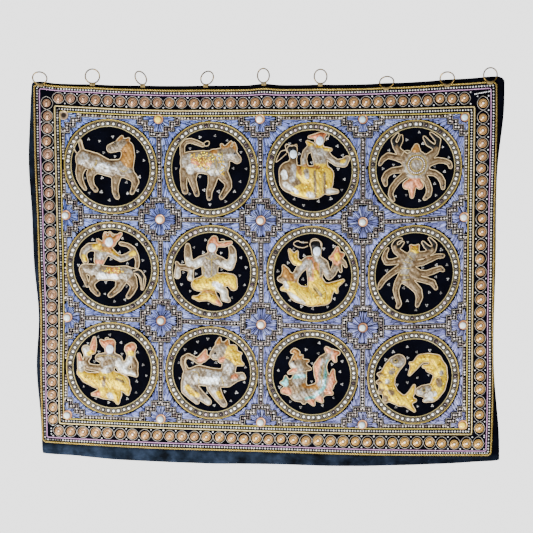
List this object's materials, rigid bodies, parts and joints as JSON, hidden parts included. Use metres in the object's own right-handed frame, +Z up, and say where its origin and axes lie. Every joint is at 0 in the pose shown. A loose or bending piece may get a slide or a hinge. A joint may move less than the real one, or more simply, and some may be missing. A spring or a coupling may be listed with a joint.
{
  "type": "embroidered wall hanging",
  "caption": "Dark velvet wall hanging with padded zodiac medallions, glass cabochons, a border of coiled roundels and small brass rings along its top edge",
  "frame": {"origin": "the middle of the cloth's top edge", "axes": "X to the right as seen from the front, Y from the face to the back, Z up"},
  "size_m": [1.0133, 0.0414, 0.8486],
  "materials": {
    "navy_velvet": "dark navy cotton velvet, matt, with a faint pile",
    "tinsel_cloth": "silver and gold tinsel cloth over soft stuffing",
    "gold_thread": "couched gold metal thread",
    "copper_thread": "coiled copper-coloured metal thread",
    "cabochon_glass": "domed glass in a coiled bezel",
    "brass": "dull brass wire"
  },
  "bodies": {
    "root": {"border_chain_bottom": "copper_thread", "border_chain_left": "copper_thread", "border_chain_right": "copper_thread", "border_chain_top": "copper_thread", "border_rope": "gold_thread", "brass_ring_1": "brass", "brass_ring_2": "brass", "brass_ring_3": "brass", "brass_ring_4": "brass", "brass_ring_5": "brass", "brass_ring_6": "brass", "brass_ring_7": "brass", "brass_ring_8": "brass", "brass_ring_9": "brass", "cabochon_row1_col1": "cabochon_glass", "cabochon_row1_col2": "cabochon_glass", "cabochon_row1_col3": "cabochon_glass", "cabochon_row1_col4": "cabochon_glass", "cabochon_row1_col5": "cabochon_glass", "cabochon_row2_col1": "cabochon_glass", "cabochon_row2_col2": "cabochon_glass", "cabochon_row2_col3": "cabochon_glass", "cabochon_row2_col4": "cabochon_glass", "cabochon_row2_col5": "cabochon_glass", "cabochon_row3_col1": "cabochon_glass", "cabochon_row3_col2": "cabochon_glass", "cabochon_row3_col3": "cabochon_glass", "cabochon_row3_col4": "cabochon_glass", "cabochon_row3_col5": "cabochon_glass", "cabochon_row4_col1": "cabochon_glass", "cabochon_row4_col2": "cabochon_glass", "cabochon_row4_col3": "cabochon_glass", "cabochon_row4_col4": "cabochon_glass", "cabochon_row4_col5": "cabochon_glass", "figure_archer": "tinsel_cloth", "figure_bull": "tinsel_cloth", "figure_crab": "tinsel_cloth", "figure_fish_left": "tinsel_cloth", "figure_fish_right": "tinsel_cloth", "figure_horse": "tinsel_cloth", "figure_lion": "tinsel_cloth", "figure_maiden": "tinsel_cloth", "figure_scales_bearer": "tinsel_cloth", "figure_scorpion": "tinsel_cloth", "figure_sea_beast": "tinsel_cloth", "figure_twins": "tinsel_cloth", "figure_water_bearer": "tinsel_cloth", "ground_cloth": "navy_velvet", "rim_archer": "gold_thread", "rim_bull": "gold_thread", "rim_crab": "gold_thread", "rim_fishes": "gold_thread", "rim_horse": "gold_thread", "rim_lion": "gold_thread", "rim_maiden": "gold_thread", "rim_scales_bearer": "gold_thread", "rim_scorpion": "gold_thread", "rim_sea_beast": "gold_thread", "rim_twins": "gold_thread", "rim_water_bearer": "gold_thread"}
  },
  "joints": []
}
